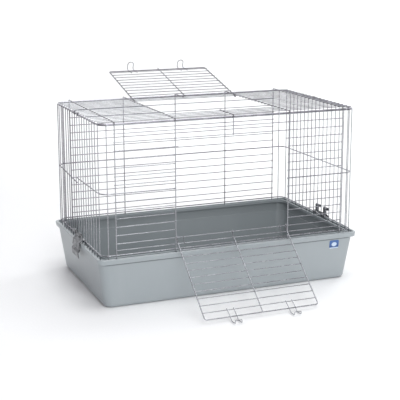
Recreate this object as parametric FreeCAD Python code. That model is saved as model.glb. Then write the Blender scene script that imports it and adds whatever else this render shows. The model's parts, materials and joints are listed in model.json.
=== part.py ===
"""Wire rabbit cage: a plastic tub, a lift-off wire top made of two half shells and a roof panel,
a ramp door in the front, a roof door, and two snap clips at the ends.

Frame: +X to the right along the length, +Y to the back, +Z up. Millimetres.
Origin: centre of the tub's footprint, on the floor.
"""
import FreeCAD
import Part

import math
import os

V = FreeCAD.Vector

# Driving dimensions ---------------------------------------------------------------------------

# tub
RIM_HALF_X = 394.0
RIM_HALF_Y = 237.0
RIM_TOP = 143.0
RIM_SKIRT = 14.0
RIM_CORNER = 16.0
RIM_ROUND = 2.2
WALL_INSET = 6.0
WALL_DRAFT = 18.0
WALL_CORNER = 34.0
OUTER_CORNER = 26.0
WALL = 3.0
BASE_CORNER = 11.0
GROOVE_WIDTH = 11.0
GROOVE_DEPTH = 6.0
OUTER_LIP = 8.4
STEP_Z = 104.0
STEP = 1.2

# wires
ROW_D = 2.2
UPRIGHT_D = 2.8
BAR_D = 2.4
FRAME_D = 3.2
WELD = 0.05
PITCH = 23.0
SILL_PITCHES = (18.1, 13.5)
FULL_PITCHES = 14
SHELL_TOP = 503.6
UPRIGHT_X = 170.0
ROW_OVERHANG = 2.0
PANEL_Y = 225.6
END_X = 382.0
SHELL_CORNER = 24.0
BAR_PITCH = 24.5
BARS_PER_HALF = 8
CORNER_BARS = (19.3, 75.4)
MID_ROW = 8
FRONT_END_Y = 9.5
BACK_END_Y = 10.6
LEFT_MID_DROP = 14.0
FOOT_PLAY = 0.3

# openings and doors
ROWS_OVER_DOOR = 2
STOP_ROW = 3
STOP_HALF_X = 161.0
DOOR_HALF_X = 166.2
DOOR_LENGTH = 263.0
DOOR_OFFSET = -6.4
DOOR_ANGLE = 129.1
DOOR_CORNER = 8.0
DOOR_PITCH = 22.6
DOOR_ROWS = 11
DOOR_ROOT = 14.0
DOOR_HOOK_X = 147.0
LID_HALF_X = 164.0
LID_LENGTH = 258.0
LID_ANGLE = 166.1
LID_CORNER = 5.0
LID_ROW_PITCH = 22.8
LID_EDGE_GAP = 16.5
LID_ROWS = 11
LID_ROOT = 9.0
LATCH_WIDTH = 19.0
LATCH_X = 86.0
HOOK_PLAY = 0.4
LATCH_TIP = [(279.0, 2.8), (294.5, 17.4), (289.9, 23.8)]
LATCH_BENDS = [12.0, 7.0, 2.0, 2.6]
LOOP_TIP = [(283.5, 2.8), (279.0, -22.0)]
LOOP_BENDS = [12.0, 6.0, 9.4]

# roof panel
ROOF_ROWS = 20
ROOF_FRONT_ROW = 4
ROOF_HINGE_ROW = 16
CURL_BELOW = 0.8
CROSS_BEND = 2.0
ROOF_PLAY = 0.1
TOP_HOOK_Y = 18.0

# clips
CLIP_Y = -24.5
EAR_WIDTH = 20.0
CLIP_SHEET = 1.2
CLIP_PLAY = 0.4
CLIP_RELEASE = 7.5
CLIP_PLATE = [(9.2, 3.0), (16.2, -5.5), (16.2, -23.0), (13.2, -26.4), (17.4, -34.0), (14.0, -50.0)]
CLIP_PLATE_BENDS = [4.0, 0.9, 0.9, 4.0]
CLIP_SCROLL = [(9.2, 3.0), (11.4, 22.0), (19.6, 20.4), (18.0, 12.6), (13.9, 13.4)]
CLIP_SCROLL_BENDS = [3.6, 3.6, 2.4]

# badge
BADGE_X = 321.5
BADGE_Z = 110.5
BADGE_WIDTH = 30.0
BADGE_HEIGHT = 25.0
BADGE_CORNER = 4.0
BADGE_THICK = 0.8

# Derived places -------------------------------------------------------------------------------

ROW_Y = PANEL_Y - (UPRIGHT_D + ROW_D) / 2 + WELD
WRAP_Y = PANEL_Y - (UPRIGHT_D + FRAME_D) / 2 + WELD
WRAP_X = END_X - (BAR_D + FRAME_D) / 2 + WELD
GROOVE_FLOOR = RIM_TOP - GROOVE_DEPTH
FOOT_Z = GROOVE_FLOOR + FOOT_PLAY
WIRE_TOP_Z = SHELL_TOP + FRAME_D / 2 - 0.4
CURL_END = SHELL_TOP + FRAME_D - CURL_BELOW
ROOF_FRAME_Z = SHELL_TOP + FRAME_D + ROOF_PLAY
ROOF_ROW_Z = ROOF_FRAME_Z + (FRAME_D + ROW_D) / 2 - WELD
ROOF_CROSS_Z = ROOF_ROW_Z + (ROW_D + UPRIGHT_D) / 2 - WELD
ROOF_PITCH = 2 * WRAP_Y / ROOF_ROWS
ROW_GAP = (FRAME_D + ROW_D) / 2 - WELD
EYE_R = (ROW_D + FRAME_D) / 2 + HOOK_PLAY

os.makedirs("parts", exist_ok=True)


# Helpers --------------------------------------------------------------------------------------

def row_z(k):
    """Height of the k-th row below the shell's top wire; the last rows stand closer together."""
    if k <= FULL_PITCHES:
        return SHELL_TOP - k * PITCH
    return SHELL_TOP - FULL_PITCHES * PITCH - sum(SILL_PITCHES[:k - FULL_PITCHES])


def rod(a, b, diameter):
    """A straight round wire from a to b."""
    a = V(*a)
    b = V(*b)
    return Part.makeCylinder(diameter / 2, (b - a).Length, a, b - a)


def bend_path(points, radius):
    """Lines and tangent arcs through points. Gives ('line', a, b) and ('arc', a, b, centre)."""
    points = [V(*p) for p in points]
    radii = radius if isinstance(radius, (list, tuple)) else [radius] * (len(points) - 2)
    steps = []
    start = points[0]
    for i in range(1, len(points) - 1):
        into = (points[i] - points[i - 1]).normalize()
        out = (points[i + 1] - points[i]).normalize()
        turn = into.getAngle(out)
        cut = radii[i - 1] * math.tan(turn / 2)
        a = points[i] - into * cut
        b = points[i] + out * cut
        middle = (out - into).normalize()
        centre = points[i] + middle * (radii[i - 1] / math.cos(turn / 2))
        if (a - start).Length > 1e-6:
            steps.append(("line", start, a, None))
        steps.append(("arc", a, b, centre))
        start = b
    steps.append(("line", start, points[-1], None))
    return steps


def bent_pieces(points, radius, diameter):
    """The straight runs and the bends of a bent wire, as solids that meet face to face."""
    pieces = []
    for kind, a, b, centre in bend_path(points, radius):
        if kind == "line":
            pieces.append(Part.makeCylinder(diameter / 2, (b - a).Length, a, b - a))
            continue
        arm = a - centre
        axis = arm.cross(b - centre).normalize()
        section = Part.Face(Part.Wire(Part.makeCircle(diameter / 2, a, axis.cross(arm))))
        angle = math.degrees(arm.getAngle(b - centre))
        pieces.append(section.revolve(centre, axis, angle))
    return pieces


def bent(points, radius, diameter):
    """One solid bent wire."""
    pieces = bent_pieces(points, radius, diameter)
    whole = pieces[0].multiFuse(pieces[1:]) if len(pieces) > 1 else pieces[0]
    return whole.removeSplitter()


def ring(centre, arm, axis, angle, diameter):
    """Part of a round wire's circle, from centre + arm, turned about axis."""
    centre = V(*centre)
    axis = V(*axis)
    arm = V(*arm)
    section = Part.Face(Part.Wire(Part.makeCircle(diameter / 2, centre + arm, axis.cross(arm))))
    return section.revolve(centre, axis, angle)


def rounded(half_x, half_y, radius, z):
    """A rounded rectangle as a wire, centred on Z."""
    x = half_x - radius
    y = half_y - radius
    edges = []
    corners = ((x, y, 0), (-x, y, 90), (-x, -y, 180), (x, -y, 270))
    for i, (cx, cy, first) in enumerate(corners):
        arc = Part.makeCircle(radius, V(cx, cy, z), V(0, 0, 1), first, first + 90)
        edges.append(arc)
        nx, ny, nfirst = corners[(i + 1) % 4]
        turn = math.radians(nfirst)
        last = math.radians(first + 90)
        a = V(cx + radius * math.cos(last), cy + radius * math.sin(last), z)
        b = V(nx + radius * math.cos(turn), ny + radius * math.sin(turn), z)
        edges.append(Part.makeLine(a, b))
    return Part.Wire(Part.__sortEdges__(edges))


def block(half_x, half_y, radius, z0, z1):
    """An upright prism with rounded corners."""
    face = Part.Face(rounded(half_x, half_y, radius, z0))
    return face.extrude(V(0, 0, z1 - z0))


def tapered(low, high, z0, z1):
    """A closed loft between two rounded rectangles, each (half_x, half_y, radius)."""
    return Part.makeLoft([rounded(*low, z0), rounded(*high, z1)], True, True)


def write(name, solids):
    """Writes one node. A node of several like pieces keeps them as separate solids."""
    shape = solids[0] if len(solids) == 1 else Part.makeCompound(solids)
    shape.exportStep(f"parts/{name}.step")


# Tub ------------------------------------------------------------------------------------------

WALL_TOP = (RIM_HALF_X - WALL_INSET, RIM_HALF_Y - WALL_INSET, WALL_CORNER)
WALL_BASE = (WALL_TOP[0] - WALL_DRAFT, WALL_TOP[1] - WALL_DRAFT, WALL_CORNER - 4)
LEDGE_Z = GROOVE_FLOOR - WALL


def wall_section(z, inset):
    """Half sizes and corner radius of the sloping wall at height z."""
    part = z / LEDGE_Z
    return tuple(b + (t - b) * part - inset for b, t in zip(WALL_BASE, WALL_TOP))


def make_tub():
    skirt_z = RIM_TOP - RIM_SKIRT
    base_edge = (*WALL_BASE[:2], OUTER_CORNER - 3)
    outer = tapered(base_edge, (*WALL_TOP[:2], OUTER_CORNER), 0, LEDGE_Z)
    wall = outer.makeFillet(BASE_CORNER, [e for e in outer.Edges if e.BoundBox.ZMax < 1e-6])
    rim = block(RIM_HALF_X, RIM_HALF_Y, RIM_CORNER, skirt_z, RIM_TOP)
    under = block(RIM_HALF_X - WALL, RIM_HALF_Y - WALL, RIM_CORNER - WALL, skirt_z - 1, LEDGE_Z)
    body = wall.fuse(rim).cut(under.cut(outer))
    # the hollow, a little narrower below a faint step
    low = tapered(wall_section(WALL, WALL + STEP), wall_section(STEP_Z, WALL + STEP), WALL, STEP_Z)
    low = low.makeFillet(BASE_CORNER - WALL, [e for e in low.Edges if e.BoundBox.ZMax < WALL + 1e-6])
    high = tapered(wall_section(STEP_Z, WALL), wall_section(LEDGE_Z, WALL), STEP_Z, LEDGE_Z)
    lip = OUTER_LIP + GROOVE_WIDTH + WALL
    mouth = (RIM_HALF_X - lip, RIM_HALF_Y - lip, WALL_CORNER - 2 * WALL)
    body = body.cut(low).cut(high).cut(block(*mouth, LEDGE_Z - 1, RIM_TOP + 1))
    # groove for the feet of the wire top
    far = OUTER_LIP
    near = OUTER_LIP + GROOVE_WIDTH
    outside = block(RIM_HALF_X - far, RIM_HALF_Y - far, RIM_CORNER - far, GROOVE_FLOOR, RIM_TOP + 1)
    inside = block(RIM_HALF_X - near, RIM_HALF_Y - near, WALL_CORNER - WALL, 0, RIM_TOP + 2)
    body = body.cut(outside.cut(inside))
    on_top = [e for e in body.Edges if e.BoundBox.ZMin > RIM_TOP - 1e-6]
    outer_edges = [e for e in on_top if on_outer_edge(e)]
    return body.makeFillet(RIM_ROUND, outer_edges)


def on_outer_edge(edge):
    """True for an edge of the tub's outermost outline."""
    point = edge.valueAt((edge.FirstParameter + edge.LastParameter) / 2)
    x = abs(point.x) - (RIM_HALF_X - RIM_CORNER)
    y = abs(point.y) - (RIM_HALF_Y - RIM_CORNER)
    reach = max(x, y) if min(x, y) < 0 else math.hypot(x, y)
    return abs(reach - RIM_CORNER) < 1e-3


def make_badge():
    """A plain plate on the sloping front wall, near the right end."""
    slope = math.degrees(math.atan(WALL_DRAFT / LEDGE_Z))
    half_y = wall_section(BADGE_Z, 0)[1]
    plate = block(BADGE_WIDTH / 2, BADGE_HEIGHT / 2, BADGE_CORNER, 0.02, BADGE_THICK)
    plate.rotate(V(0, 0, 0), V(1, 0, 0), 90 + slope)
    plate.translate(V(BADGE_X, -half_y, BADGE_Z))
    return plate


write("tub", [make_tub()])
write("badge", [make_badge()])

# Wire top: the two half shells ----------------------------------------------------------------

def rows(side, ks, x0, x1):
    """Straight horizontal wires on the front (side -1) or the back (side +1)."""
    y = side * ROW_Y
    return [rod((x0, y, row_z(k)), (x1, y, row_z(k)), ROW_D) for k in ks]


def upright(side, x, z0, z1):
    return rod((x, side * PANEL_Y, z0), (x, side * PANEL_Y, z1), UPRIGHT_D)


def end_bars(side, end):
    """The upright wires on one end of one half shell, the last two on its rounded corner."""
    places = [(END_X, BAR_PITCH * (j + 0.5)) for j in range(BARS_PER_HALF)]
    reach = END_X - WRAP_X + SHELL_CORNER
    for degrees in CORNER_BARS:
        turn = math.radians(degrees)
        x = WRAP_X - SHELL_CORNER + reach * math.cos(turn)
        y = WRAP_Y - SHELL_CORNER + reach * math.sin(turn)
        places.append((x, y))
    return [rod((end * x, side * y, FOOT_Z), (end * x, side * y, WIRE_TOP_Z), BAR_D)
            for x, y in places]


def full_wrap(side, z, end_y):
    """A frame wire across one half shell and round both ends to the middle."""
    y = side * WRAP_Y
    middle = side * end_y
    points = [(-WRAP_X, middle, z), (-WRAP_X, y, z), (WRAP_X, y, z), (WRAP_X, middle, z)]
    return bent_pieces(points, SHELL_CORNER, FRAME_D)


def part_wrap(side, end, z, end_y, stop_x, drop=0.0):
    """A frame wire from stop_x to one end and round it, lower by drop at the end's middle."""
    y = side * WRAP_Y
    x = end * WRAP_X
    points = [(end * stop_x, y, z), (x, y, z), (x, side * end_y, z - drop)]
    return bent_pieces(points, SHELL_CORNER, FRAME_D)


inner_x = UPRIGHT_X - ROW_OVERHANG
outer_x = 2 * UPRIGHT_X + ROW_OVERHANG
bottom_row = FULL_PITCHES + len(SILL_PITCHES)
bay_rows = [k for k in range(STOP_ROW + 1, FULL_PITCHES) if k != MID_ROW]
corner_x = [n * UPRIGHT_X for n in (-2, -1, 1, 2)]
middle_low = row_z(ROWS_OVER_DOOR) - ROW_OVERHANG

write("front_uprights", [upright(-1, x, FOOT_Z, WIRE_TOP_Z) for x in corner_x]
      + [upright(-1, 0, middle_low, WIRE_TOP_Z)])
write("back_uprights", [upright(1, x, FOOT_Z, WIRE_TOP_Z) for x in corner_x + [0]])
write("front_rows_left", rows(-1, bay_rows, -outer_x, -inner_x))
write("front_rows_right", rows(-1, bay_rows, inner_x, outer_x))
write("front_door_stops", rows(-1, [STOP_ROW], -outer_x, -STOP_HALF_X)
      + rows(-1, [STOP_ROW], STOP_HALF_X, outer_x))
write("front_rows_over_door", rows(-1, range(1, ROWS_OVER_DOOR + 1), -outer_x, outer_x))
write("front_rows_under_door", rows(-1, range(FULL_PITCHES, bottom_row), -outer_x, outer_x))
write("back_rows", rows(1, [k for k in range(1, bottom_row) if k != MID_ROW], -outer_x, outer_x))
for side, name, end_y in ((-1, "front", -FRONT_END_Y), (1, "back", BACK_END_Y)):
    for end, end_name in ((-1, "left"), (1, "right")):
        write(f"{name}_end_bars_{end_name}", end_bars(side, end))
    wraps = full_wrap(side, SHELL_TOP, end_y) + full_wrap(side, row_z(bottom_row), end_y)
    if side < 0:
        wraps += part_wrap(side, -1, row_z(MID_ROW), end_y, inner_x)
        wraps += part_wrap(side, 1, row_z(MID_ROW), end_y, inner_x)
    else:
        wraps += part_wrap(side, -1, row_z(MID_ROW), end_y, UPRIGHT_X / 2, LEFT_MID_DROP)
        wraps += part_wrap(side, 1, row_z(MID_ROW), end_y, -UPRIGHT_X / 2)
    write(f"{name}_wraps", wraps)

# Wire top: the roof panel ---------------------------------------------------------------------

def roof_y(k):
    return -WRAP_Y + k * ROOF_PITCH


def roof_rows(ks, x0, x1):
    return [rod((x0, roof_y(k), ROOF_ROW_Z), (x1, roof_y(k), ROOF_ROW_Z), ROW_D) for k in ks]


def roof_frame():
    """The roof's closed outline, begun in the middle of the front."""
    x = WRAP_X
    y = WRAP_Y
    z = ROOF_FRAME_Z
    points = [(0, -y, z), (x, -y, z), (x, y, z), (-x, y, z), (-x, -y, z), (0, -y, z)]
    return bent_pieces(points, SHELL_CORNER, FRAME_D)


def cross_wire(x, inner_y, side):
    """A wire across the roof's rows whose end turns down over the frame."""
    edge = WRAP_Y + (FRAME_D + UPRIGHT_D) / 2 - WELD
    points = [(x, inner_y, ROOF_CROSS_Z), (x, side * edge, ROOF_CROSS_Z), (x, side * edge, CURL_END)]
    return bent_pieces(points, CROSS_BEND, UPRIGHT_D)


def top_hook(end, y):
    """A closed link round the roof's frame and the shell's top wire."""
    r = (FRAME_D + ROW_D) / 2 + 0.1
    low = V(end * WRAP_X, y, SHELL_TOP)
    high = V(end * WRAP_X, y, ROOF_FRAME_Z)
    link = [ring(high, (r, 0, 0), (0, -1, 0), 180, ROW_D), ring(low, (-r, 0, 0), (0, -1, 0), 180, ROW_D)]
    for x in (-r, r):
        link.append(rod(low + V(x, 0, 0), high + V(x, 0, 0), ROW_D))
    return link[0].multiFuse(link[1:]).removeSplitter()


front_edge = roof_y(ROOF_FRONT_ROW) + ROW_OVERHANG
crosses = []
for x in corner_x:
    crosses += cross_wire(x, 0, -1) + cross_wire(x, 0, 1)
crosses += cross_wire(0, front_edge, -1) + cross_wire(0, roof_y(ROOF_HINGE_ROW + 1) - ROW_OVERHANG, 1)
side_rows = range(ROOF_FRONT_ROW + 1, ROOF_HINGE_ROW)
write("top_frame", roof_frame())
write("top_cross_wires", crosses)
write("top_rows_front", roof_rows(range(1, ROOF_FRONT_ROW + 1), -WRAP_X, WRAP_X))
write("top_rows_left", roof_rows(side_rows, -WRAP_X, -inner_x))
write("top_rows_right", roof_rows(side_rows, inner_x, WRAP_X))
write("top_rows_back", roof_rows(range(ROOF_HINGE_ROW, ROOF_ROWS), -WRAP_X, WRAP_X))
write("top_hooks", [top_hook(end, y) for end in (-1, 1) for y in (-TOP_HOOK_Y, TOP_HOOK_Y)])

# Doors ----------------------------------------------------------------------------------------
# Each is drawn shut, in its own plane: x along the hinge, s away from the hinge, t above the
# hinge's plane on the side the latches lie on. It is then placed and swung open.

class Door:
    def __init__(self, plane, hinge, along, above, swing):
        self.plane = plane
        self.hinge = V(*hinge)
        self.along = V(*along)
        self.above = V(*above)
        self.swing = swing

    def at(self, x, s, t):
        return tuple(self.hinge + V(x, 0, 0) + self.along * s + self.above * t)

    def opened(self, shapes):
        for shape in shapes:
            shape.rotate(self.hinge, V(1, 0, 0), self.swing)
        return shapes

    def wire(self, points, radius, diameter):
        return bent([self.at(*p) for p in points], radius, diameter)

    def straight(self, a, b, diameter):
        return rod(self.at(*a), self.at(*b), diameter)

    def hook(self, x, start, diameter, wrap=200.0, side=-1):
        """A wire end that leaves the door's plane at start and curls round the hinge wire."""
        r = (ROW_D + diameter) / 2 + HOOK_PLAY
        s, t = start
        # tangent from the start to the curl, then round the far side of the hinge wire
        turn = math.atan2(t, s) + side * math.acos(r / math.hypot(s, t))
        touch = (r * math.cos(turn), r * math.sin(turn))
        lead = self.straight((x, s, t), (x, *touch), diameter)
        arm = self.along * touch[0] + self.above * touch[1]
        axis = self.along.cross(self.above) * side
        curl = ring(self.hinge + V(x, 0, 0), arm, axis, wrap, diameter)
        return lead.fuse(curl).removeSplitter()


def over_two(low, high, low_gap, high_gap):
    """A line that lies on two round wires seen end on. Gives its points above each."""
    ds = high[0] - low[0]
    dt = high[1] - low[1]
    turn = math.atan2(dt, ds) + math.asin((high_gap - low_gap) / math.hypot(ds, dt))
    side = (-math.sin(turn), math.cos(turn))
    a = (low[0] + side[0] * low_gap, low[1] + side[1] * low_gap)
    b = (high[0] + side[0] * high_gap, high[1] + side[1] * high_gap)
    return a, b, (math.cos(turn), math.sin(turn))


def door_frame(door, half_x, length, corner, root):
    """The outline on three sides: separate straight runs and bends."""
    t = door.plane
    points = [door.at(*p) for p in ((-half_x, root, t), (-half_x, length, t),
                                    (half_x, length, t), (half_x, root, t))]
    return bent_pieces(points, corner, FRAME_D)


def loop(door, x, side, bends):
    """A U of thin wire: two legs that follow side, joined across its last point."""
    half = LATCH_WIDTH / 2
    points = [(x - half, *p) for p in side] + [(x + half, *p) for p in reversed(side)]
    return door.wire(points, bends + bends[::-1], ROW_D)


ramp = Door(DOOR_OFFSET, (0, -ROW_Y, row_z(FULL_PITCHES)), (0, 0, 1), (0, 1, 0), DOOR_ANGLE)
lid = Door(0.0, (0, roof_y(ROOF_HINGE_ROW), ROOF_ROW_Z), (0, -1, 0), (0, 0, 1), -LID_ANGLE)

# front door, let down as a ramp
ramp_rows = [DOOR_LENGTH - DOOR_PITCH * k for k in range(1, DOOR_ROWS + 1)]
row_t = DOOR_OFFSET - ROW_GAP
mid_t = row_t + (ROW_D + UPRIGHT_D) / 2 - WELD
write("front_door_frame", ramp.opened(
    door_frame(ramp, DOOR_HALF_X, DOOR_LENGTH, DOOR_CORNER, DOOR_ROOT)
    + [ramp.hook(x, (DOOR_ROOT, DOOR_OFFSET), FRAME_D) for x in (-DOOR_HALF_X, DOOR_HALF_X)]))
write("front_door_rows", ramp.opened(
    [ramp.straight((-DOOR_HALF_X - 1, s, row_t), (DOOR_HALF_X + 1, s, row_t), ROW_D)
     for s in ramp_rows]))
edge_s = DOOR_LENGTH - FRAME_D / 2 + WELD
write("front_door_middle_wire", ramp.opened(
    [ramp.straight((0, DOOR_ROOT, mid_t), (0, edge_s, mid_t), UPRIGHT_D),
     ramp.hook(0, (DOOR_ROOT, mid_t), UPRIGHT_D)]))
write("front_door_hinge_hooks", ramp.opened(
    [ramp.hook(x, (DOOR_ROOT + 5, row_t + ROW_D - WELD), ROW_D)
     for x in (-DOOR_HOOK_X, DOOR_HOOK_X)]))
weld_gap = ROW_D - WELD
low, high, way = over_two((ramp_rows[0], row_t), (DOOR_LENGTH, DOOR_OFFSET), weld_gap, ROW_GAP)
base = (low[0] - 3 * way[0], low[1] - 3 * way[1])
over = (high[0] + 0.4, high[1] + 0.06)
for x, name in ((-LATCH_X, "left"), (LATCH_X, "right")):
    side = [base, over] + [(s, t + DOOR_OFFSET) for s, t in LATCH_TIP]
    latch = loop(ramp, x, side, LATCH_BENDS)
    write(f"front_door_latch_{name}", ramp.opened([latch]))

# roof door, laid back
lid_rows = [LID_LENGTH - LID_EDGE_GAP - LID_ROW_PITCH * k for k in range(LID_ROWS)]
row_t = -ROW_GAP
mid_t = row_t - (ROW_D + UPRIGHT_D) / 2 + WELD
write("top_door_frame", lid.opened(
    door_frame(lid, LID_HALF_X, LID_LENGTH, LID_CORNER, LID_ROOT)
    + [lid.hook(x, (LID_ROOT, 0.0), FRAME_D, side=1) for x in (-LID_HALF_X, LID_HALF_X)]))
write("top_door_rows", lid.opened(
    [lid.straight((-LID_HALF_X - 1, s, row_t), (LID_HALF_X + 1, s, row_t), ROW_D)
     for s in lid_rows]))
write("top_door_middle_wire", lid.opened(
    [lid.straight((0, lid_rows[-1] - 2, mid_t), (0, LID_LENGTH + 1, mid_t), UPRIGHT_D)]))
low, high, way = over_two((lid_rows[0], row_t), (LID_LENGTH, 0.0), weld_gap, ROW_GAP)
base = (low[0] - 3 * way[0], low[1] - 3 * way[1])
over = (high[0] + 0.4, high[1] + 0.08)
for x, name in ((-LATCH_X, "left"), (LATCH_X, "right")):
    side = [base, over] + LOOP_TIP
    tab = loop(lid, x, side, LOOP_BENDS)
    write(f"top_door_loop_{name}", lid.opened([tab]))

# Clips ----------------------------------------------------------------------------------------

def strap(points, radius, y0, y1):
    """Bent sheet along a path in the XZ plane, from y0 to y1."""
    pieces = []
    half = CLIP_SHEET / 2
    for kind, a, b, centre in bend_path([(x, y0, z) for x, z in points], radius):
        if kind == "line":
            side = (b - a).cross(V(0, 1, 0)).normalize() * half
            face = Part.Face(Part.makePolygon([a - side, a + side, b + side, b - side, a - side]))
        else:
            arm = (a - centre).normalize()
            axis = (a - centre).cross(b - centre).normalize()
            angle = math.degrees((a - centre).getAngle(b - centre))
            face = Part.makeLine(a - arm * half, a + arm * half).revolve(centre, axis, angle)
        pieces.append(face.extrude(V(0, y1 - y0, 0)))
    return pieces[0].multiFuse(pieces[1:])


def make_clip():
    """The right-hand clip, with its pivot at the origin, turned to its released rest."""
    half = BAR_PITCH + EAR_WIDTH / 2
    y0 = CLIP_Y - half
    y1 = CLIP_Y + half
    # the apron outside the skirt, the lip under it and the tail
    plate = strap(CLIP_PLATE, CLIP_PLATE_BENDS, y0, y1)
    # at each end a scroll above the rim and an ear round the wire
    r = FRAME_D / 2 + CLIP_PLAY + CLIP_SHEET / 2
    root = CLIP_PLATE[0][0]
    ears = []
    for y in (y0, y1 - EAR_WIDTH):
        ears.append(strap(CLIP_SCROLL, CLIP_SCROLL_BENDS, y, y + EAR_WIDTH))
        ears.append(strap([(root, r), (-r, r), (-r, -r), (r * 0.8, -r)], [r * 0.98, r * 0.98],
                          y, y + EAR_WIDTH))
    clip = plate.multiFuse(ears).removeSplitter()
    clip.rotate(V(0, 0, 0), V(0, -1, 0), CLIP_RELEASE)
    clip.translate(V(WRAP_X, 0, row_z(bottom_row)))
    return clip


clip = make_clip()
write("right_clip", [clip])
write("left_clip", [clip.mirror(V(0, 0, 0), V(1, 0, 0))])
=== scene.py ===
"""Looks of the wire rabbit cage: zinc wire, moulded tub, label, clips, floor, light and camera."""

import itertools
import json
import math

import bpy
import numpy as np
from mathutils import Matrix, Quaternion, Vector


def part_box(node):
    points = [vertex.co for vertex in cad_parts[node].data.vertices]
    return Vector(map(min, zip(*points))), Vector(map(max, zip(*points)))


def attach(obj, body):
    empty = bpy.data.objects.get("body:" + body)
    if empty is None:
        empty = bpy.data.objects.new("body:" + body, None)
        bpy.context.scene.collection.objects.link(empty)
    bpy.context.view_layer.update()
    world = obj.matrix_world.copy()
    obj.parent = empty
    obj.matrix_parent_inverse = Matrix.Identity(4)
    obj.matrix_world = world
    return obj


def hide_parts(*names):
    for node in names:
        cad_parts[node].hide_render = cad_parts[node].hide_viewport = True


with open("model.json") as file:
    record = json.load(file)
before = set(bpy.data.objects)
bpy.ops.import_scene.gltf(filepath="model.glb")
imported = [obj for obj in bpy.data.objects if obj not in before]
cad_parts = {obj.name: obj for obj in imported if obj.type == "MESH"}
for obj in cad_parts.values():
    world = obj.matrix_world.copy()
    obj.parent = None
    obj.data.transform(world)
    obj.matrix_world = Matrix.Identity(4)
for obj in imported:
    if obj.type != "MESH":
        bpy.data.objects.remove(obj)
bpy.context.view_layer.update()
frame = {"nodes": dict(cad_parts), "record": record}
MM = 0.001

# Camera: place in metres, angles in degrees, lens and sensor in mm, shift in sensor widths
CAMERA_AT = (-1.124, -2.760, 0.943)
CAMERA_YAW = 22.02
CAMERA_PITCH = 12.21
CAMERA_ROLL = 0.12
CAMERA_LENS = 92.5
CAMERA_SENSOR = 36.0
CAMERA_SHIFT = -0.0625

# Studio light: place, target, disk size in metres and watts
WORLD_COLOUR = (1.0, 0.95, 1.0)
WORLD_STRENGTH = 0.36
LAMP_COLOUR = (0.97, 1.0, 1.0)
LIGHTS = [
    ("key", (2.3, 1.3, 1.8), (0.0, 0.0, 0.2), 1.2, 26),
    ("front_high", (-0.6, -3.2, 1.9), (0.0, 0.0, 0.2), 1.4, 36),
    ("front_low", (0.0, -3.4, 0.7), (0.0, 0.0, 0.2), 1.6, 20),
    ("top", (0.3, -0.6, 3.0), (0.0, -0.4, 0.2), 2.4, 44),
    ("back", (0.5, 2.8, 2.0), (0.0, 0.0, 0.2), 2.0, 22),
    ("backdrop_left", (-1.5, 4.0, 2.6), (-0.5, 6.5, 1.0), 2.4, 66),
    ("backdrop_right", (3.5, 3.0, 2.4), (3.7, 5.4, 0.2), 2.4, 84),
]

# Tub section: inset from the rim's outside, height, corner radius and edge rounding, in mm
TUB_PROFILE = [
    (24.0, 0.0, 23.0, 11.0),
    (6.0, 134.0, 26.0, 1.2),
    (4.9, 134.0, 13.0, 1.2),
    (4.9, 129.0, 13.0, 0.9),
    (2.3, 129.0, 14.5, 0.9),
    (0.0, 143.0, 16.0, 2.4),
    (8.4, 143.0, 7.6, 1.2),
    (8.4, 137.0, 7.6, 1.5),
    (19.4, 137.0, 31.0, 1.5),
    (19.4, 143.0, 31.0, 1.1),
    (22.4, 143.0, 28.0, 1.1),
    (22.4, 133.4, 28.0, 1.2),
    (9.1, 133.4, 31.0, 2.0),
    (12.9, 104.6, 30.0, 0.8),
    (14.1, 104.0, 29.0, 0.8),
    (27.8, 3.0, 26.0, 8.0),
]
TUB_FLOOR_INSET = 45.0
TUB_FLOOR_CORNER = 12.0
CORNER_STEPS = 14
SIDE_STEPS = 16
ROUND_STEPS = 5

# An edge's rounding takes up to this share of each side next to it. Past the rounding, a further
# point this many mm along the side, within its own share, keeps the side's shading flat
ROUND_SHARE = 0.48
HOLD = 0.8
HOLD_SHARE = 0.49

# The tub's walls swell by this much halfway between two heights, in mm. What is nearer to the
# rim's outside than WALL_INSET is rim, and stays straight
WALL_BOW = 0.7
BOW_LOW = 8.0
BOW_HIGH = 120.0
WALL_INSET = 9.6

# A face looks up if its normal rises more than LOOKS_UP. One that does, and lies more than
# RIM_ZONE metres below the rim's top, belongs to the tub's inside
LOOKS_UP = 0.5
RIM_ZONE = 0.010

# The painted shadow under the rim's skirt, a dark band on the wall: heights in metres, and how
# much of it shows
SKIRT_LOW = 0.1286
SKIRT_FADE = 0.0006
SKIRT_SHADOW_LOW = 0.1235
SKIRT_SHADOW_HIGH = 0.1275
SKIRT_SHADOW_STRENGTH = 0.85

# Tub plastic: two tones of its clouds, its streaks, dust, and the painted shadow under the skirt.
# The inside is painted darker, as painted shade
PLASTIC_DARK = (0.340, 0.375, 0.393)
PLASTIC_LIGHT = (0.372, 0.406, 0.423)
PLASTIC_STREAK = (0.42, 0.45, 0.465)
PLASTIC_DUST = (0.28, 0.31, 0.33)
PLASTIC_SKIRT_SHADOW = (0.07, 0.08, 0.085)
OUTSIDE_SHADE = 0.98
INSIDE_PAINTED_SHADE = 0.76

# Label: its tones, the disc's half width and half height in metres, and the lower edge's share
BADGE_LOW_BLUE = (0.014, 0.060, 0.22)
BADGE_HIGH_BLUE = (0.035, 0.125, 0.36)
BADGE_PALE = (0.55, 0.66, 0.80)
BADGE_GRAIN = (0.40, 0.50, 0.70)
DISC_HALF_WIDTH = 0.0085
DISC_HALF_HEIGHT = 0.0065
LOWER_EDGE = 0.10
LOWER_EDGE_FADE = 0.03

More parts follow.
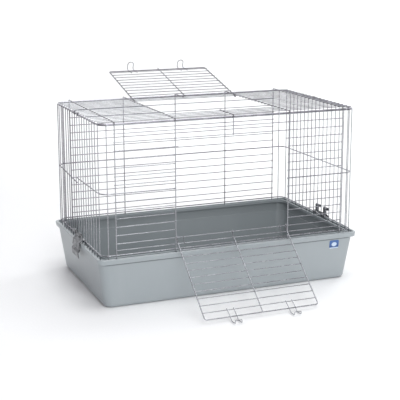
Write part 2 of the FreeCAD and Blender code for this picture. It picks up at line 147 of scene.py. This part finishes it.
# Zinc: two tones of its patches and its grain, the shades it is painted in by where it is seen,
# the green that every shade but the bright one keeps, and the nodes painted dimmer, darker or
# paler than the rest. The shaded and dark shades are painted shade, the pale one a painted
# highlight
ZINC_DARK = (0.30, 0.305, 0.325)
ZINC_LIGHT = (0.435, 0.44, 0.465)
ZINC_GRAIN = (0.20, 0.20, 0.21)
BRIGHT = 1.03
SHADED = 0.68
DARK = 0.42
PALE = 1.30
FULL_GREEN = 1.0
LESS_GREEN = 0.96
SHADED_NAMES = ("back_", "top_hooks", "top_door")
DARK_NODES = ("top_cross_wires", "top_door_frame", "top_door_middle_wire")
PALE_NODES = ("top_frame",)

# Weld metal, clip steel and paper, two tones each, and the steel's blotches
WELD_DARK = (0.17, 0.165, 0.16)
WELD_LIGHT = (0.34, 0.34, 0.345)
STEEL_DARK = (0.07, 0.074, 0.08)
STEEL_LIGHT = (0.20, 0.205, 0.22)
STEEL_BLOTCH = (0.05, 0.052, 0.056)
PAPER_DARK = (0.93, 0.93, 0.935)
PAPER_LIGHT = (0.96, 0.96, 0.962)
BLACK = (0.0, 0.0, 0.0)

# Straight wires: the least length of their long faces, how close two vertices are to be one,
# and how near to a wire's tip its end points lie, in metres
LONG_EDGE = 0.009
SAME_POINT = 2e-6
TIP = 1e-4

# Weld spots: how far apart two wires may be, and how far past a wire's end they may meet, in
# metres. Wires whose directions agree more than PARALLEL don't cross
WELD_REACH = 0.00012
WELD_SLACK = 0.0012
LEAST_GAP = 1e-5
PARALLEL = 0.97

# Weld beads: radius and half thickness in mm, mesh steps, and two ripples round the edge
WELD_RADIUS = 1.45
WELD_THICK = 0.85
BEAD_RINGS = 5
BEAD_AROUND = 10
BEAD_RIPPLES = ((3, 0.10, 1), (5, 0.06, -2))
BEAD_SEED_STEP = 0.37
WELDED_BODIES = ("wire_top", "front_door", "top_door")

# Angles at which faces meet in a sharp edge, in degrees
TUB_SHARP = 40.0
WELD_SHARP = 60.0
FLOOR_SHARP = 35.0

# Paper sweep, in metres: half width, where its bend starts, the bend's radius, its top edge
SWEEP_HALF = 9.0
SWEEP_BEND_START = 4.0
SWEEP_BEND = 2.5
SWEEP_TOP = 7.0
SWEEP_STEPS = 12


# Materials ------------------------------------------------------------------------------------

class Nodes:
    """A material with a Principled shader, and short calls to add nodes to it."""

    def __init__(self, name):
        self.material = bpy.data.materials.new(name)
        self.material.use_nodes = True
        self.tree = self.material.node_tree
        self.shader = self.tree.nodes["Principled BSDF"]
        self.place = self.add("ShaderNodeTexCoord").outputs["Object"]

    def add(self, kind, **settings):
        """A new node with some of its settings."""
        node = self.tree.nodes.new(kind)
        for key, value in settings.items():
            setattr(node, key, value)
        return node

    def link(self, a, b):
        self.tree.links.new(a, b)

    def noise(self, scale, detail=4.0, rough=0.55, stretch=(1, 1, 1)):
        """Cloudy values from 0 to 1, the finer the higher the scale."""
        mapping = self.add("ShaderNodeMapping")
        mapping.inputs["Scale"].default_value = stretch
        self.link(self.place, mapping.inputs["Vector"])
        node = self.add("ShaderNodeTexNoise")
        node.inputs["Scale"].default_value = scale
        node.inputs["Detail"].default_value = detail
        node.inputs["Roughness"].default_value = rough
        self.link(mapping.outputs["Vector"], node.inputs["Vector"])
        return node.outputs["Fac"]

    def ramp(self, value, low, high, start=0.35, end=0.65):
        """Maps a value between two numbers or two colours."""
        if isinstance(low, tuple):
            node = self.add("ShaderNodeValToRGB")
            first, last = node.color_ramp.elements
            first.position = start
            last.position = end
            first.color = (*low, 1)
            last.color = (*high, 1)
            self.link(value, node.inputs["Fac"])
            return node.outputs["Color"]
        node = self.add("ShaderNodeMapRange")
        node.inputs["From Min"].default_value = start
        node.inputs["From Max"].default_value = end
        node.inputs["To Min"].default_value = low
        node.inputs["To Max"].default_value = high
        self.link(value, node.inputs["Value"])
        return node.outputs["Result"]

    def mix(self, a, b, factor):
        """Mixes two colours, each a tuple or a socket. Inputs 0, 6 and 7 are the colour mode's."""
        node = self.add("ShaderNodeMix", data_type="RGBA")
        for value, socket in ((factor, node.inputs[0]), (a, node.inputs[6]), (b, node.inputs[7])):
            if isinstance(value, tuple):
                socket.default_value = (*value, 1)
            else:
                self.link(value, socket)
        return node.outputs[2]

    def bump(self, value, strength, distance, under=None):
        """A surface direction from heights, on top of the one under it."""
        node = self.add("ShaderNodeBump")
        node.inputs["Strength"].default_value = strength
        node.inputs["Distance"].default_value = distance
        self.link(value, node.inputs["Height"])
        if under is not None:
            self.link(under, node.inputs["Normal"])
        return node.outputs["Normal"]

    def height(self):
        """The shaded point's height, in metres."""
        split = self.add("ShaderNodeSeparateXYZ")
        self.link(self.place, split.inputs["Vector"])
        return split.outputs["Z"]

    def combine(self, operation, a, b=None):
        """A vector operation on a socket and, if it takes two, a constant."""
        node = self.add("ShaderNodeVectorMath", operation=operation)
        self.link(a, node.inputs[0])
        if b is not None:
            node.inputs[1].default_value = b
        return node.outputs["Value" if operation == "LENGTH" else "Vector"]


def tinted(colour, shade, green=FULL_GREEN):
    """A colour times a shade. Less green makes it more violet."""
    r, g, b = colour
    return (r * shade, g * green * shade, b * shade)


def zinc_wire(name, shade, green):
    """Drawn zinc-coated wire. The shade paints light and shade into its colour: lower is painted
    shade, higher is a painted highlight.
    """
    m = Nodes(name)
    s = m.shader
    s.inputs["Metallic"].default_value = 1.0
    patches = m.noise(38.0, 5.0)
    grain = m.noise(900.0, 3.0)
    tone = m.ramp(patches, tinted(ZINC_DARK, shade, green), tinted(ZINC_LIGHT, shade, green),
                  0.3, 0.7)
    tone = m.mix(tone, tinted(ZINC_GRAIN, shade, green), m.ramp(grain, 0.0, 0.35, 0.5, 0.8))
    m.link(tone, s.inputs["Base Color"])
    m.link(m.ramp(patches, 0.16, 0.32, 0.3, 0.7), s.inputs["Roughness"])
    m.link(m.bump(grain, 0.12, 0.0002), s.inputs["Normal"])
    return m.material


def weld_metal():
    """Dull, speckled metal of the weld beads."""
    m = Nodes("weld_metal")
    s = m.shader
    s.inputs["Metallic"].default_value = 1.0
    spots = m.noise(1600.0, 4.0)
    m.link(m.ramp(spots, WELD_DARK, WELD_LIGHT, 0.35, 0.7), s.inputs["Base Color"])
    m.link(m.ramp(spots, 0.35, 0.6), s.inputs["Roughness"])
    m.link(m.bump(spots, 0.4, 0.0003), s.inputs["Normal"])
    return m.material


def clip_steel():
    """Dark rolled sheet steel with lines and blotches."""
    m = Nodes("clip_steel")
    s = m.shader
    s.inputs["Metallic"].default_value = 1.0
    lines = m.noise(60.0, 6.0, 0.7, (1, 14, 1))
    blotch = m.noise(45.0, 4.0)
    tone = m.ramp(lines, STEEL_DARK, STEEL_LIGHT, 0.3, 0.7)
    tone = m.mix(tone, STEEL_BLOTCH, m.ramp(blotch, 0.0, 0.5, 0.5, 0.75))
    m.link(tone, s.inputs["Base Color"])
    m.link(m.ramp(blotch, 0.22, 0.42), s.inputs["Roughness"])
    m.link(m.bump(lines, 0.1, 0.0003), s.inputs["Normal"])
    return m.material


def tub_plastic(name, shade, skirt_shadow):
    """Moulded plastic with faint clouds, streaks and dust, and a painted shadow under the rim's
    skirt. A lower shade makes the whole colour darker, as painted shade on the inside copy.
    """
    m = Nodes(name)
    s = m.shader
    s.inputs["Specular IOR Level"].default_value = 0.45
    cloud = m.noise(3.2, 3.0)
    streak = m.noise(26.0, 5.0, 0.6, (1, 1, 0.12))
    leather = m.noise(1300.0, 2.0)
    dust = m.noise(420.0, 6.0, 0.7)
    tone = m.ramp(cloud, tinted(PLASTIC_DARK, shade), tinted(PLASTIC_LIGHT, shade))
    tone = m.mix(tone, tinted(PLASTIC_STREAK, shade), m.ramp(streak, 0.0, 0.22, 0.5, 0.8))
    tone = m.mix(tone, tinted(PLASTIC_DUST, shade), m.ramp(dust, 0.0, 0.25, 0.62, 0.8))
    # Painted shadow: a dark band on the wall just under the skirt's lower edge
    if skirt_shadow:
        height = m.height()
        above = m.ramp(height, 0.0, skirt_shadow, SKIRT_SHADOW_LOW, SKIRT_SHADOW_HIGH)
        below = m.ramp(height, 1.0, 0.0, SKIRT_LOW, SKIRT_LOW + SKIRT_FADE)
        tone = m.mix(tone, PLASTIC_SKIRT_SHADOW, m.mix(BLACK, above, below))
    m.link(tone, s.inputs["Base Color"])
    m.link(m.ramp(dust, 0.27, 0.36, 0.3, 0.7), s.inputs["Roughness"])
    fine = m.bump(leather, 0.10, 0.0003)
    m.link(m.bump(cloud, 0.15, 0.004, fine), s.inputs["Normal"])
    return m.material


def badge_film():
    """A plain blue label with a pale disc and a pale lower edge, no lettering."""
    m = Nodes("badge_film")
    s = m.shader
    s.inputs["Coat Weight"].default_value = 0.4
    s.inputs["Coat Roughness"].default_value = 0.12
    s.inputs["Roughness"].default_value = 0.35
    low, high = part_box("badge")
    height = m.ramp(m.height(), 0.0, 1.0, low.z, high.z)
    grain = m.noise(700.0, 4.0)
    field = m.ramp(height, BADGE_LOW_BLUE, BADGE_HIGH_BLUE, 0.1, 0.9)
    # distance from the label's middle, in the disc's half sizes
    away = m.combine("SUBTRACT", m.place, (low + high) / 2)
    flat = m.combine("MULTIPLY", away, (1 / DISC_HALF_WIDTH, 0.0, 1 / DISC_HALF_HEIGHT))
    disc = m.ramp(m.combine("LENGTH", flat), 1.0, 0.0, 0.9, 1.05)
    tone = m.mix(field, BADGE_PALE, disc)
    above_edge = m.ramp(height, 0.0, 1.0, LOWER_EDGE, LOWER_EDGE + LOWER_EDGE_FADE)
    tone = m.mix(BADGE_PALE, tone, above_edge)
    tone = m.mix(tone, BADGE_GRAIN, m.ramp(grain, 0.0, 0.14, 0.45, 0.7))
    m.link(tone, s.inputs["Base Color"])
    m.link(m.bump(grain, 0.05, 0.0001), s.inputs["Normal"])
    return m.material


def floor_paper():
    """White studio paper."""
    m = Nodes("floor_paper")
    s = m.shader
    s.inputs["Roughness"].default_value = 0.75
    s.inputs["Specular IOR Level"].default_value = 0.2
    fibre = m.noise(180.0, 6.0, 0.6)
    m.link(m.ramp(fibre, PAPER_DARK, PAPER_LIGHT), s.inputs["Base Color"])
    m.link(m.bump(fibre, 0.05, 0.0004), s.inputs["Normal"])
    return m.material


def cover(obj, material):
    """Gives a whole object one material."""
    if not obj.data.materials:
        obj.data.materials.append(material)
    for i in range(len(obj.data.materials)):
        obj.data.materials[i] = material


# Mesh helpers ---------------------------------------------------------------------------------

def make_object(name, verts, faces, material, sharp):
    """An object from vertices and faces, smooth but for edges sharper than an angle in degrees."""
    mesh = bpy.data.meshes.new(name)
    mesh.from_pydata(verts, [], faces)
    mesh.validate()
    mesh.update()
    mesh.shade_smooth()
    mesh.set_sharp_from_angle(angle=math.radians(sharp))
    mesh.materials.append(material)
    obj = bpy.data.objects.new(name, mesh)
    bpy.context.scene.collection.objects.link(obj)
    return obj


# Tub ------------------------------------------------------------------------------------------

def rounded_profile(points):
    """The tub's section with its edges rounded: (inset, height, corner radius) points."""
    out = []
    last = len(points) - 1
    for n, (inset, z, corner, radius) in enumerate(points):
        here = Vector((inset, z))
        before = Vector(points[n - 1][:2]) if n else Vector((TUB_FLOOR_INSET, z))
        after = Vector(points[n + 1][:2]) if n < last else Vector((TUB_FLOOR_INSET, z))
        a = (before - here).normalized()
        b = (after - here).normalized()
        half = a.angle(b) / 2
        lengths = ((before - here).length, (after - here).length)
        cut = min(radius / math.tan(half), ROUND_SHARE * min(lengths))
        radius = cut * math.tan(half)
        middle = here + (a + b).normalized() * (radius / math.sin(half))
        start = here + a * cut - middle
        end = here + b * cut - middle
        sweep = start.angle_signed(end)
        hold_a, hold_b = [min(HOLD, HOLD_SHARE * length - cut) for length in lengths]
        if n and hold_a > 0:
            out.append((*(here + a * (cut + hold_a)), corner))
        for k in range(ROUND_STEPS + 1):
            turn = -sweep * k / ROUND_STEPS
            c, s = math.cos(turn), math.sin(turn)
            p = middle + Vector((start.x * c - start.y * s, start.x * s + start.y * c))
            out.append((p.x, p.y, corner))
        if n < last and hold_b > 0:
            out.append((*(here + b * (cut + hold_b)), corner))
    return out


def outline(half_x, half_y, radius, z, bow):
    """Points round a rounded rectangle. The sides may bow outwards a little."""
    points = []
    corners = ((1, 1, 0), (-1, 1, 90), (-1, -1, 180), (1, -1, 270))
    for n, (sx, sy, first) in enumerate(corners):
        cx = sx * (half_x - radius)
        cy = sy * (half_y - radius)
        for k in range(CORNER_STEPS + 1):
            turn = math.radians(first + 90 * k / CORNER_STEPS)
            points.append(Vector((cx + radius * math.cos(turn), cy + radius * math.sin(turn), z)))
        nx, ny, nfirst = corners[(n + 1) % 4]
        turn = math.radians(nfirst)
        end = Vector((nx * (half_x - radius) + radius * math.cos(turn),
                      ny * (half_y - radius) + radius * math.sin(turn), z))
        start = points[-1]
        out = Vector((math.cos(turn), math.sin(turn), 0))
        for k in range(1, SIDE_STEPS):
            share = k / SIDE_STEPS
            points.append(start.lerp(end, share) + out * bow * math.sin(math.pi * share) ** 2)
    return points


def bow_at(inset, z):
    """How far the tub's sides swell outwards at a point of its section."""
    if inset <= WALL_INSET:
        return 0
    share = min(max((z - BOW_LOW) / (BOW_HIGH - BOW_LOW), 0), 1)
    return WALL_BOW * math.sin(math.pi * share)


def make_tub(outside, inside):
    """The tub as rings of its section, from under the floor over the rim to the floor's top."""
    _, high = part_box("tub")
    half_x = high.x / MM
    half_y = high.y / MM
    section = rounded_profile(TUB_PROFILE)
    floor_z = section[-1][1]
    under = (TUB_FLOOR_INSET, 0.0, TUB_FLOOR_CORNER)
    over = (TUB_FLOOR_INSET, floor_z, TUB_FLOOR_CORNER)
    profile = [under, *section, over]
    verts = []
    for inset, z, corner in profile:
        ring = outline(half_x - inset, half_y - inset, corner, z, bow_at(inset, z))
        verts += [p * MM for p in ring]
    count = len(verts) // len(profile)
    faces = [tuple(range(count))[::-1]]
    for n in range(len(profile) - 1):
        for k in range(count):
            a = n * count + k
            b = n * count + (k + 1) % count
            faces.append((a, b, b + count, a + count))
    top = (len(profile) - 1) * count
    faces.append(tuple(range(top, top + count)))
    tub = make_object("tub_moulding", verts, faces, outside, TUB_SHARP)
    tub.data.materials.append(inside)
    # Faces that look inwards, and the floor's top, take the darker inside copy of the plastic:
    # painted shade
    for face in tub.data.polygons:
        out = Vector((face.center.x, face.center.y, 0))
        under_rim = face.center.z < high.z - RIM_ZONE
        inward = face.normal.dot(out) < 0 and face.normal.z < LOOKS_UP
        if inward or (under_rim and face.normal.z > LOOKS_UP):
            face.material_index = 1
    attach(tub, "tub")
    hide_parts("tub")


# Welds ----------------------------------------------------------------------------------------

def mesh_arrays(mesh):
    """A mesh's vertices and triangles as arrays."""
    points = np.empty(len(mesh.vertices) * 3)
    mesh.vertices.foreach_get("co", points)
    mesh.calc_loop_triangles()
    triangles = np.empty(len(mesh.loop_triangles) * 3, int)
    mesh.loop_triangles.foreach_get("vertices", triangles)
    return points.reshape(-1, 3), triangles.reshape(-1, 3)


def joined(points, triangles):
    """Groups the vertices that triangles join, counting vertices at one place as the same."""
    _, same = np.unique(np.round(points / SAME_POINT).astype(np.int64), axis=0,
                        return_inverse=True)
    same = same.ravel()
    parent = list(range(same.max() + 1))

    def root(i):
        while parent[i] != i:
            parent[i] = parent[parent[i]]
            i = parent[i]
        return i

    for first, *others in same[triangles]:
        top = root(first)
        for other in others:
            below = root(other)
            if top != below:
                parent[below] = top
    groups = {}
    for i in np.unique(triangles):
        groups.setdefault(root(same[i]), []).append(i)
    return groups.values()


def fitted_run(points):
    """The wire through a group of points: (start, end, radius)."""
    middle = points.mean(0)
    _, _, axes = np.linalg.svd(points - middle, full_matrices=False)
    along = (points - middle) @ axes[0]
    start = points[along < along.min() + TIP].mean(0)
    end = points[along > along.max() - TIP].mean(0)
    off = points - middle - np.outer(along, axes[0])
    return start, end, float(np.linalg.norm(off, axis=1).mean())


def straight_runs(node):
    """The straight wires in a CAD node: (start, end, radius), found from its long faces."""
    points, triangles = mesh_arrays(frame["nodes"][node].data)
    corners = points[triangles]
    sides = np.linalg.norm(corners - np.roll(corners, 1, axis=1), axis=2)
    long_ones = triangles[sides.max(axis=1) > LONG_EDGE]
    return [fitted_run(points[members]) for members in joined(points, long_ones)]


def crossing(a, b):
    """Where two straight wires touch: (point, direction between them, first wire's direction)."""
    start_a, end_a, radius_a = a
    start_b, end_b, radius_b = b
    length_a = np.linalg.norm(end_a - start_a)
    length_b = np.linalg.norm(end_b - start_b)
    u = (end_a - start_a) / length_a
    v = (end_b - start_b) / length_b
    dot = u @ v
    if abs(dot) > PARALLEL:
        return None
    w = start_b - start_a
    t = (w @ u - dot * (w @ v)) / (1 - dot * dot)
    k = (dot * (w @ u) - w @ v) / (1 - dot * dot)
    on_a = -WELD_SLACK < t < length_a + WELD_SLACK
    on_b = -WELD_SLACK < k < length_b + WELD_SLACK
    if not (on_a and on_b):
        return None
    nearest = start_a + u * t
    across = start_b + v * k - nearest
    gap = np.linalg.norm(across)
    if gap > radius_a + radius_b + WELD_REACH or gap < LEAST_GAP:
        return None
    return nearest + across * (radius_a / (radius_a + radius_b)), across / gap, u


def weld_bead(point, normal, along, seed):
    """A small flattened bead between two wires."""
    side = np.cross(normal, along)
    side /= np.linalg.norm(side)
    along = np.cross(side, normal)
    verts = []
    for i in range(BEAD_RINGS + 1):
        tilt = math.pi * i / BEAD_RINGS
        for k in range(BEAD_AROUND):
            turn = 2 * math.pi * k / BEAD_AROUND
            wave = 1 + sum(size * math.sin(count * turn + phase * seed)
                           for count, size, phase in BEAD_RIPPLES)
            flat = math.sin(tilt) * WELD_RADIUS * wave * MM
            verts.append(point + along * flat * math.cos(turn) + side * flat * math.sin(turn)
                         + normal * math.cos(tilt) * WELD_THICK * MM)
    faces = []
    for i in range(BEAD_RINGS):
        for k in range(BEAD_AROUND):
            a = i * BEAD_AROUND + k
            b = i * BEAD_AROUND + (k + 1) % BEAD_AROUND
            faces.append((a, b, b + BEAD_AROUND, a + BEAD_AROUND))
    return verts, faces


def make_welds(material):
    """One object of weld beads for each welded body."""
    bodies = frame["record"]["behaviour"]["bodies"]
    for body in WELDED_BODIES:
        runs = [run for node in bodies[body] for run in straight_runs(node)]
        verts = []
        faces = []
        for a, b in itertools.combinations(runs, 2):
            found = crossing(a, b)
            if found is None:
                continue
            bead, quads = weld_bead(*found, seed=len(verts) * BEAD_SEED_STEP)
            start = len(verts)
            verts += [Vector(v) for v in bead]
            faces += [tuple(start + n for n in quad) for quad in quads]
        welds = make_object(f"welds_{body}", verts, faces, material, WELD_SHARP)
        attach(welds, body)


# Stage ----------------------------------------------------------------------------------------

def make_floor(material):
    """A sheet of paper that lies flat and rises far behind."""
    steps = [(-SWEEP_HALF, 0.0), (SWEEP_BEND_START, 0.0)]
    for k in range(1, SWEEP_STEPS + 1):
        turn = math.radians(90 * k / SWEEP_STEPS)
        steps.append((SWEEP_BEND_START + SWEEP_BEND * math.sin(turn),
                      SWEEP_BEND - SWEEP_BEND * math.cos(turn)))
    steps.append((SWEEP_BEND_START + SWEEP_BEND, SWEEP_TOP))
    verts = []
    for y, z in steps:
        verts += [Vector((-SWEEP_HALF, y, z)), Vector((SWEEP_HALF, y, z))]
    faces = [(2 * n, 2 * n + 1, 2 * n + 3, 2 * n + 2) for n in range(len(steps) - 1)]
    floor = make_object("floor_sweep", verts, faces, material, FLOOR_SHARP)


def area_light(name, at, target, size, power):
    data = bpy.data.lights.new(name, "AREA")
    data.shape = "DISK"
    data.size = size
    data.energy = power
    data.color = LAMP_COLOUR
    lamp = bpy.data.objects.new(name, data)
    lamp.location = at
    lamp.rotation_mode = "QUATERNION"
    lamp.rotation_quaternion = (Vector(target) - Vector(at)).to_track_quat("-Z", "Y")
    lamp.visible_camera = False
    bpy.context.scene.collection.objects.link(lamp)


def make_light():
    world = bpy.data.worlds.new("studio")
    world.use_nodes = True
    background = world.node_tree.nodes["Background"]
    background.inputs["Color"].default_value = (*WORLD_COLOUR, 1)
    background.inputs["Strength"].default_value = WORLD_STRENGTH
    bpy.context.scene.world = world
    for name, at, target, size, power in LIGHTS:
        area_light(name, at, target, size, power)


def make_camera():
    data = bpy.data.cameras.new("camera")
    data.sensor_width = CAMERA_SENSOR
    data.lens = CAMERA_LENS
    data.shift_y = CAMERA_SHIFT
    camera = bpy.data.objects.new("camera", data)
    yaw = math.radians(CAMERA_YAW)
    pitch = math.radians(CAMERA_PITCH)
    forward = Vector((math.sin(yaw) * math.cos(pitch), math.cos(yaw) * math.cos(pitch),
                      -math.sin(pitch)))
    camera.location = CAMERA_AT
    camera.rotation_mode = "QUATERNION"
    level = forward.to_track_quat("-Z", "Y")
    camera.rotation_quaternion = Quaternion(forward, math.radians(CAMERA_ROLL)) @ level
    bpy.context.scene.collection.objects.link(camera)
    bpy.context.scene.camera = camera


# Everything -----------------------------------------------------------------------------------

# One zinc in four copies: shaded and dark are painted shade, pale is a painted highlight
bright_wire = zinc_wire("zinc_wire", BRIGHT, FULL_GREEN)
shaded_wire = zinc_wire("zinc_wire_shaded", SHADED, LESS_GREEN)
dark_wire = zinc_wire("zinc_wire_dark", DARK, LESS_GREEN)
pale_wire = zinc_wire("zinc_wire_pale", PALE, LESS_GREEN)
weld = weld_metal()
steel = clip_steel()
plastic = tub_plastic("tub_plastic", OUTSIDE_SHADE, SKIRT_SHADOW_STRENGTH)
plastic_inside = tub_plastic("tub_plastic_inside", INSIDE_PAINTED_SHADE, 0.0)
film = badge_film()
paper = floor_paper()


def finish_of(node):
    """The material of a CAD node."""
    if node in PALE_NODES:
        return pale_wire
    if node in DARK_NODES:
        return dark_wire
    if node.startswith(SHADED_NAMES):
        return shaded_wire
    if node == "badge":
        return film
    if node == "tub":
        return plastic
    if node.endswith("_clip"):
        return steel
    return bright_wire


for members in frame["record"]["behaviour"]["bodies"].values():
    for node in members:
        cover(frame["nodes"][node], finish_of(node))

make_tub(plastic, plastic_inside)
make_welds(weld)
make_floor(paper)
make_light()
make_camera()
bpy.context.scene.view_settings.view_transform = "Standard"
